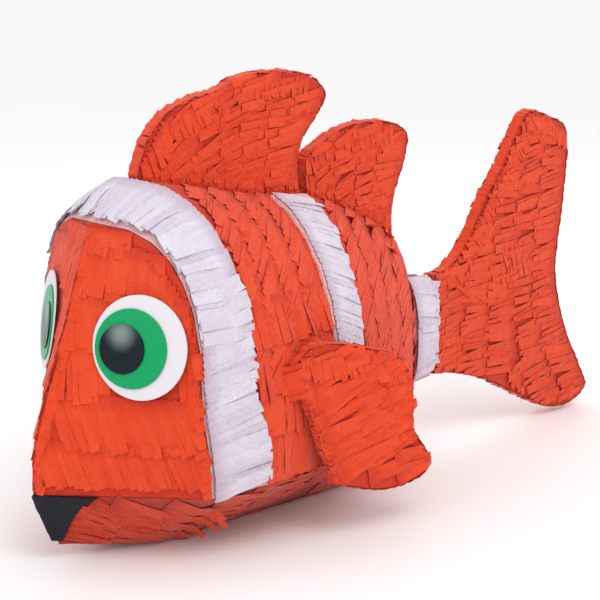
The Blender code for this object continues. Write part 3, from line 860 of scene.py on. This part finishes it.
tail_sight = sight(["tail_band"])
tail_form = form_of("tail_root_form", SKINS + ["tail_fin_crepe"])
front, rear = band_edges(tail_sight)
front = [level for level in front if 8 < level[0] < 158]
runs = band_rows(tail_sight, finer(front), rear, 0.05, TAIL_BAND_COVER)
made = piece("tail_band_fringe", [
    fringe(runs + other_side(runs), white, tail_form, 34, **{**WHITE, "Stand Off": 2.6 * MM}),
    skin(["tail_band"], pasted_white),
])
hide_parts("tail_band")


# -------------------- the underside
# The slanting underside and the flat belly are covered with lengthwise fringe in a darker copy of
# the orange paper, painted shade for the faces that turn down from the light. A few torn strips
# dangle from it.

UNDER_OUT = Vector((0, -0.56, -0.83))
UNDER_HANG = (1, 0, -0.1)
UNDER_REACH = 40 * MM
UNDER_FRONT = 272
UNDER_PITCH = 26
CHIN_REACH = 30 * MM
UNDER = {
    "Strip Pitch": 3.4 * MM, "Strip Width": 4.6 * MM, "Lift": 1.3 * MM, "Curl": 1.0 * MM,
    "Crumple": 0.9 * MM, "Slant Spread": 0.1, "Length Spread": 0.12,
}
HINGE_BARE = 5 * MM
HINGE_PRESS = 14 * MM
PRESSED_AT_HINGE = 0.1
PRESSED_BELOW = 9 * MM
PRESSED_AT_BELLY = 0.15
flap_low, flap_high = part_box("flap_crepe")


def at_hinge(spot):
    """Leaves out the strips along the flap's crease, and presses flat those near it."""
    point, out, way, length, freedom = spot
    if not flap_low.x - length < point.x < flap_high.x + 4 * MM:
        return spot
    apart = abs(point.y - flap_high.y)
    if apart < HINGE_BARE:
        return None
    return (point, out, way, length, PRESSED_AT_HINGE if apart < HINGE_PRESS else freedom)


def at_belly(spot):
    """Presses flat the strips that would touch the table."""
    point, out, way, length, freedom = spot
    lowest = min(point.z, (point + way * length).z)
    return (point, out, way, length, PRESSED_AT_BELLY if lowest < PRESSED_BELOW else freedom)


mouth_corners = [corner.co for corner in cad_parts["mouth_patch"].data.vertices]
lip_corner = min(mouth_corners, key=lambda co: co.y)
chin = min(mouth_corners, key=lambda co: co.z)
for side, sign, seed in (("left", -1, 41), ("right", 1, 42)):
    node = "underside_crepe_" + side
    sightline = sight([node])
    toward = Vector((0, UNDER_OUT.y * sign, -UNDER_OUT.z))
    runs = []
    for k in range(13):
        x = (UNDER_FRONT - UNDER_PITCH * k) * MM - NOSE_TO_MIDDLE
        points = line((x, 0.012 * sign, 0.0), (x + 0.004, 0.095 * sign, 0.055))
        runs += trace(sightline, points, toward, UNDER_HANG, UNDER_REACH, True)
    behind_mouth = [
        Vector((spot.x + 2 * MM, -spot.y * sign, spot.z))
        for spot in line(lip_corner, (chin.x, -0.004, chin.z))
    ]
    runs += trace(sightline, behind_mouth, toward, (1, -0.3 * sign, -0.1), CHIN_REACH, True)
    if side == "left":
        runs = split_where_none(runs, at_hinge)
    made = piece("underside_fringe_" + side, [
        fringe(split_where_none(runs, at_belly), orange_painted_shade, body_form, seed, **UNDER),
        skin([node], orange_painted_shade),
    ])
    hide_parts(node)

belly_sight = sight(["belly_crepe"])
belly_runs = []
for k in range(12):
    x = (290 - 28 * k) * MM - NOSE_TO_MIDDLE
    belly_runs += trace(
        belly_sight, line((x, -0.021, 0), (x, 0.021, 0)), (0, 0, 1), (1, 0, 0), 34 * MM, True
    )
made = piece("belly_fringe", [
    fringe(belly_runs, orange_painted_shade, body_form, 43, **{
        "Stand Off": 0.1 * MM, "Lift": 0.5 * MM, "Curl": 0.2 * MM, "Crumple": 0.3 * MM,
    }),
    skin(["belly_crepe"], orange_painted_shade, 0.15 * MM),
])
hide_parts("belly_crepe")


# -------------------- the filling flap
# A cut in the underside, creased along the edge nearest the belly, through which the sweets go
# in. Its own short rows of fringe open with it, and a strip of clear tape holds it shut.

FLAP_ROWS = (0.03, 0.36, 0.68)
FLAP_REACH = 22 * MM

flap_sight = sight(["flap_crepe"])
flap_runs = []
for part in FLAP_ROWS:
    x = flap_low.x + (flap_high.x - flap_low.x) * part
    flap_runs += trace(
        flap_sight, line((x, flap_high.y, flap_low.z), (x, flap_low.y, flap_high.z)),
        -UNDER_OUT, UNDER_HANG, FLAP_REACH, True,
    )
flap_runs = split_where_none(flap_runs, at_hinge)
# The flap's fringe is in the darker underside paper, painted shade.
made = piece("flap_fringe", [
    fringe(flap_runs, orange_painted_shade, body_form, 44, **{**UNDER, "Lift": 1.2 * MM, "Curl": 0.8 * MM}),
    skin(["flap_crepe"], orange_painted_shade, 0.15 * MM),
], "flap")
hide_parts("flap_crepe")

film, tree = new_material("clear_polypropylene_tape")
finish_material(tree, add_node(tree, "ShaderNodeBsdfPrincipled", None, {
    "Base Color": linear("F2E6E6"), "Roughness": 0.12, "Alpha": 0.35, "Coat Weight": 1.0,
}))
tape = piece("flap_tape_film", [skin(["flap_tape"], film, 0.12 * MM, 4 * MM)], "flap")
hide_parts("flap_tape")


# -------------------- the fins
# Flat card fins with fringe pasted on both faces and over their edges. The back fins and the side
# fins carry upright rows, and the tail fin's rows lean with its leading edge.

JOINT_REACH = 25 * MM
RIM_FACES = 0.9
RIM_TURNS = 0.5
SHORTEST_EDGE = 0.5 * MM
FIN_RIM = 11 * MM
FIN_SIZES = {
    "Strip Pitch": 3.9 * MM, "Strip Width": 5.8 * MM, "Lift": 0.9 * MM, "Crumple": 1.3 * MM,
    "Slant Spread": 0.15, "Length Spread": 0.15, "Curl": 0.8 * MM, "Cup": 0.7 * MM, "Bow": 1.3 * MM,
}


def rim_runs(node, side, reach, keep_point):
    """Rows round the outline of a flat fin, on its rim, with strips that cross to the other face."""
    work = merged([node])
    work.normal_update()
    runs = []
    for edge in work.edges:
        if len(edge.link_faces) != 2:
            continue
        ways = [face.normal.y * side for face in edge.link_faces]
        if max(ways) < RIM_FACES or min(ways) > RIM_TURNS or edge.calc_length() < SHORTEST_EDGE:
            continue
        rim = min(edge.link_faces, key=lambda face: face.normal.y * side)
        middle = sum((corner.co for corner in edge.verts), Vector()) / 2
        if not keep_point(middle):
            continue
        ends = [corner.co.copy() for corner in edge.verts]
        runs.append([(end, rim.normal.copy(), Vector((0, -side, 0)), reach, 1.0) for end in ends])
    work.free()
    return runs


def along(points):
    """Points along a line through these stations and heights, in the fish's middle plane."""
    places = [at(*point) for point in points]
    return [spot for start, end in zip(places, places[1:]) for spot in line(start, end)]


def fin_piece(name, node, lines, base, seed, keep_rim):
    """Fringe on both faces of a fin that stands on the fish's middle plane."""
    form = form_of(name + "_form", [node])
    sightline = sight([node])
    runs = []
    for points, hang, reach in lines:
        runs += trace(sightline, along(points), (0, 1, 0), (hang[0], 0, hang[1]), reach * MM, True)
    joint_form = form_of(name + "_joint_form", [node] + SKINS)
    joints = trace(sightline, along(base), (0, 1, 0), (0, 0, -1), JOINT_REACH)
    rims = rim_runs(node, -1, FIN_RIM, keep_rim)
    made = piece(name, [
        fringe(runs, orange, form, seed, **FIN_SIZES),
        fringe(other_side(runs), orange, form, seed + 1, **FIN_SIZES),
        fringe(joints + other_side(joints), orange, joint_form, seed + 2, **FIN_SIZES),
        fringe(rims, orange, form, seed + 3, **{**FIN_SIZES, "Lift": 0.4 * MM, "Curl": 0.2 * MM}),
        skin([node], orange),
    ])
    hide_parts(node)


fin_piece("front_fin_fringe", "front_fin_crepe", [
    ([(201, 299), (196, 286), (181, 268), (175.5, 250), (175.5, 236)], (-1, -0.05), 30),
    ([(184, 313), (184, 275)], (-1, -0.05), 40),
    ([(160, 314), (160, 240)], (-1, -0.12), 36),
    ([(138, 314), (138, 240)], (-1, -0.25), 34),
    ([(116, 307), (116, 242)], (-1, -0.4), 34),
    ([(89, 302), (89, 248)], (-1, -0.6), 34),
    ([(40, 262), (60, 290), (106, 304)], (0.3, -1), 18),
    ([(106, 304), (128, 312), (186, 310)], (-0.4, -1), 14),
], [(38, 262), (174, 242)], 51, lambda spot: spot.z > 0.258)

fin_piece("rear_fin_fringe", "rear_fin_crepe", [
    ([(288, 262), (286, 243), (278, 224), (273.5, 205), (272.5, 196)], (-1, -0.05), 28),
    ([(262, 272), (262, 200)], (-1, -0.15), 30),
    ([(240, 272), (240, 208)], (-1, -0.3), 30),
    ([(218, 268), (218, 216)], (-1, -0.5), 28),
    ([(187, 252), (203, 261), (226, 270), (270, 270)], (0.1, -1), 14),
], [(187, 240), (272, 202)], 55, lambda spot: spot.z > 0.225)

fin_piece("tail_fin_fringe", "tail_fin_crepe", [
    ([(484, 248), (481, 190), (474, 137), (477, 110), (494, 66), (517, 29), (523, 14)], (-1, -0.06), 32),
    ([(466, 260), (458, 190), (452, 120), (470, 55), (488, 12)], (-1, -0.08), 36),
    ([(460, 60), (440, 24)], (-1, -0.2), 34),
    ([(440, 262), (430, 190), (424, 110), (426, 50)], (-1, 0.0), 36),
    ([(418, 240), (400, 160), (392, 110), (390, 54)], (-1, 0.02), 34),
    ([(376, 180), (366, 120), (362, 62)], (-1, -0.1), 32),
    ([(404, 166), (432, 160)], (0.15, -1), 28),
    ([(408, 150), (428, 146)], (-0.1, -1), 22),
    ([(348, 139), (395, 116)], (0.4, -1), 9),
    ([(345, 146), (345, 64)], (-1, -0.1), 24),
    ([(438, 267), (402, 221), (364, 167), (345, 150)], (0.5, -0.86), 16),
    ([(438, 267), (463, 261), (484, 248)], (-0.1, -1), 14),
    ([(452, 26), (474, 8), (505, 6)], (0.3, 1), 12),
], [(322, 140), (322, 139)], 59, lambda spot: spot.x > 0.092)


# -------------------- the side fins
# Smaller card fins glued to the flanks along their front edge, with crinkly strips that sweep up
# and back.

SIDE_FIN_RIM = 8 * MM
SIDE_FIN_SIZES = {
    **FIN_SIZES, "Slant Spread": 0.2, "Crumple": 2.0 * MM, "Lift": 1.2 * MM, "Strip Width": 6.6 * MM,
}

for side, sign, seed in (("left", -1, 65), ("right", 1, 68)):
    node = f"side_fin_{side}_crepe"
    form = form_of(node + "_form", [node])
    sightline = sight([node])
    runs = []
    for start, end, hang, reach in [
        ((93, 128), (127, 42), (1, 0.35), 52),
        ((132, 134), (152, 36), (1, 0.3), 48),
        ((160, 128), (176, 34), (1, 0.15), 36),
        ((96, 136), (182, 122), (0.1, -1), 15),
    ]:
        points = line(at(*start), at(*end))
        runs += trace(sightline, points, (0, -sign, 0), (hang[0], 0, hang[1]), reach * MM, True)
    joint_form = form_of(node + "_joint_form", [node] + SKINS)
    joints = trace(sightline, line(at(99, 130), at(131, 46)), (0, -sign, 0), (-1, 0, -0.3), 15 * MM)
    made = piece("side_fin_fringe_" + side, [
        fringe(runs, orange, form, seed, **SIDE_FIN_SIZES),
        fringe(joints, orange, joint_form, seed + 2, **{
            "Let Go": 14 * MM, "Lift": 0.2 * MM, "Strip Width": 9 * MM, "Curl": 0.1 * MM,
        }),
        fringe(rim_runs(node, sign, SIDE_FIN_RIM, lambda spot: True), orange, form, seed + 1, **{
            **SIDE_FIN_SIZES, "Lift": 0.6 * MM, "Curl": 0.3 * MM, "Crumple": 0.8 * MM,
        }),
        skin([node], orange),
    ])
    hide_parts(node)


# -------------------- the eyes
# Three discs of coated paper on each side, white, green and black, punched out and glued on top
# of one another over the fringe. The coating gives them a clear, slightly uneven gloss, and the
# black disc has a painted highlight, a soft grey spot in its upper half.

EYE_RAISED = 0.9 * MM
EYE_EDGE = 0.25 * MM
EYE_SIDES = 96
# Place and size of the painted highlight on the black disc, in parts of its radius.
HIGHLIGHT_AT = (0.05, 0.62, 0)
HIGHLIGHT_SIZE = 0.85


def coated_paper(name, colour, roughness, highlight=None):
    made, tree = new_material(name)
    place = add_node(tree, "ShaderNodeTexCoord")
    uneven = add_node(tree, "ShaderNodeTexNoise", None, {
        "Vector": place.outputs["Object"], "Scale": 60.0, "Detail": 2.0,
    })
    tooth = add_node(tree, "ShaderNodeTexNoise", None, {
        "Vector": place.outputs["Object"], "Scale": 900.0, "Detail": 2.0,
    })
    disc_at = add_node(tree, "ShaderNodeAttribute", {"attribute_name": "disc_at"})
    from_spot = add_node(tree, "ShaderNodeVectorMath", {"operation": "DISTANCE"}, {
        0: disc_at.outputs["Vector"], 1: HIGHLIGHT_AT,
    })
    faded = add_node(tree, "ShaderNodeMapRange", {"interpolation_type": "SMOOTHSTEP"}, {
        0: from_spot.outputs["Value"], 1: 0.0, 2: HIGHLIGHT_SIZE, 3: 1.0, 4: 0.0,
    })
    # Painted highlight: the colour is blended towards the highlight colour in a soft spot round HIGHLIGHT_AT,
    # standing in for a reflection.
    painted_highlight_mix = add_node(tree, "ShaderNodeMixRGB", None, {
        "Fac": faded.outputs[0], "Color1": linear(colour), "Color2": linear(highlight or colour),
    })
    shine = add_node(tree, "ShaderNodeMapRange", None, {
        0: uneven.outputs[0], 1: 0.3, 2: 0.7, 3: roughness, 4: roughness + 0.08,
    })
    relief = add_node(tree, "ShaderNodeBump", None, {
        "Strength": 0.08, "Distance": 0.2 * MM, "Height": tooth.outputs[0],
    })
    finish_material(tree, add_node(tree, "ShaderNodeBsdfPrincipled", None, {
        "Base Color": painted_highlight_mix.outputs[0], "Roughness": shine.outputs[0], "Normal": relief.outputs[0],
        "Specular IOR Level": 0.2,
    }))
    return made


EYE_PAPERS = {
    "white": (coated_paper("white_coated_paper", "D9D5DA", 0.35), 0.21 * MM, "eye_white_paper"),
    "iris": (coated_paper("green_coated_paper", "01985A", 0.3), 0.15 * MM, "eye_green_paper"),
    "pupil": (coated_paper("black_coated_paper", "07161B", 0.25, "7C8887"), 0.12 * MM, "eye_black_paper"),
}


def punched_disc(name, centre, out, radius, depth, wave):
    """A disc with softly pressed edges that is a little out of flat."""
    across = out.cross(Vector((0, 0, 1))).normalized()
    up = across.cross(out)
    profile = [
        (0, depth), (radius * 0.35, depth), (radius * 0.7, depth), (radius - 2 * EYE_EDGE, depth),
        (radius - 0.3 * EYE_EDGE, depth - 0.3 * EYE_EDGE), (radius, depth - EYE_EDGE),
        (radius, -depth), (radius * 0.6, -depth), (0, -depth),
    ]
    work = bmesh.new()
    rings = []
    for reach, level in profile:
        if reach == 0:
            rings.append([work.verts.new((0, 0, level))])
            continue
        rings.append([
            work.verts.new((
                reach * math.cos(math.tau * k / EYE_SIDES), reach * math.sin(math.tau * k / EYE_SIDES),
                level + wave * (reach / radius) ** 2 * math.sin(math.tau * 2 * k / EYE_SIDES + 1),
            ))
            for k in range(EYE_SIDES)
        ])
    for inner, outer in zip(rings, rings[1:]):
        for k in range(EYE_SIDES):
            m = (k + 1) % EYE_SIDES
            corners = [inner[k % len(inner)], outer[k % len(outer)]]
            corners += [outer[m % len(outer)], inner[m % len(inner)]]
            work.faces.new(list(dict.fromkeys(corners)))
    bmesh.ops.recalc_face_normals(work, faces=work.faces)
    across_at = work.verts.layers.float_vector.new("disc_at")
    for corner in work.verts:
        corner[across_at] = (corner.co.x / radius, corner.co.y / radius, 0)
    turn = Matrix((across, up, out)).transposed().to_4x4()
    work.transform(Matrix.Translation(centre) @ turn)
    bmesh.ops.recalc_face_normals(work, faces=work.faces)
    mesh = bpy.data.meshes.new(name)
    work.to_mesh(mesh)
    work.free()
    mesh.shade_smooth()
    mesh.set_sharp_from_angle(angle=math.radians(35))
    return mesh


for side in ("left", "right"):
    for layer_name, (paper, wave, slot) in EYE_PAPERS.items():
        node = f"eye_{layer_name}_{side}"
        centre, out, radius, depth = disc_place(node)
        mesh = punched_disc(node + "_paper", centre + out * EYE_RAISED, out, radius, depth, wave)
        mesh.materials.append(paper)
        made = piece(node + "_paper", [mesh])
        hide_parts(node)


# -------------------- the mouth
# A triangle of thin black glazed paper folded round the chin, creased where it was pressed on.

glazed, tree = new_material("black_glazed_paper")
place = add_node(tree, "ShaderNodeTexCoord")
creases = add_node(tree, "ShaderNodeTexNoise", None, {
    "Vector": place.outputs["Object"], "Scale": 1 / (9 * MM), "Detail": 3.0, "Distortion": 1.5,
})
relief = add_node(tree, "ShaderNodeBump", None, {
    "Strength": 0.6, "Distance": 1.0 * MM, "Height": creases.outputs[0],
})
# Painted shade: the colour follows the crease relief, darker in its hollows and lighter on its ridges.
tint = add_node(tree, "ShaderNodeMixRGB", None, {
    "Fac": creases.outputs[0], "Color1": linear("06080F"), "Color2": linear("131827"),
})
finish_material(tree, add_node(tree, "ShaderNodeBsdfPrincipled", None, {
    "Base Color": tint.outputs[0], "Roughness": 0.45, "Normal": relief.outputs[0],
    "Specular IOR Level": 0.25,
}))
made = piece("mouth_paper", [skin(["mouth_patch"], glazed, 0.5 * MM, 4 * MM, 1.0 * MM)])
made.data.shade_smooth()
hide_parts("mouth_patch")


# -------------------- the hanging stick
# A length of turned dowel inside the shell, under the cord hole, with pale straight grain.

dowel, tree = new_material("birch_dowel")
place = add_node(tree, "ShaderNodeTexCoord")
stretch = add_node(tree, "ShaderNodeMapping", None, {
    "Vector": place.outputs["Object"], "Scale": (0.08, 1.0, 1.0),
})
grain = add_node(tree, "ShaderNodeTexNoise", None, {
    "Vector": stretch.outputs[0], "Scale": 900.0, "Detail": 5.0,
})
tint = add_node(tree, "ShaderNodeMixRGB", None, {
    "Fac": grain.outputs[0], "Color1": linear("B58F5E"), "Color2": linear("DDBE8E"),
})
finish_material(tree, add_node(tree, "ShaderNodeBsdfPrincipled", None, {
    "Base Color": tint.outputs[0], "Roughness": 0.55,
}))
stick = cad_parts["hanging_stick"]
stick.data.materials.clear()
stick.data.materials.append(dowel)
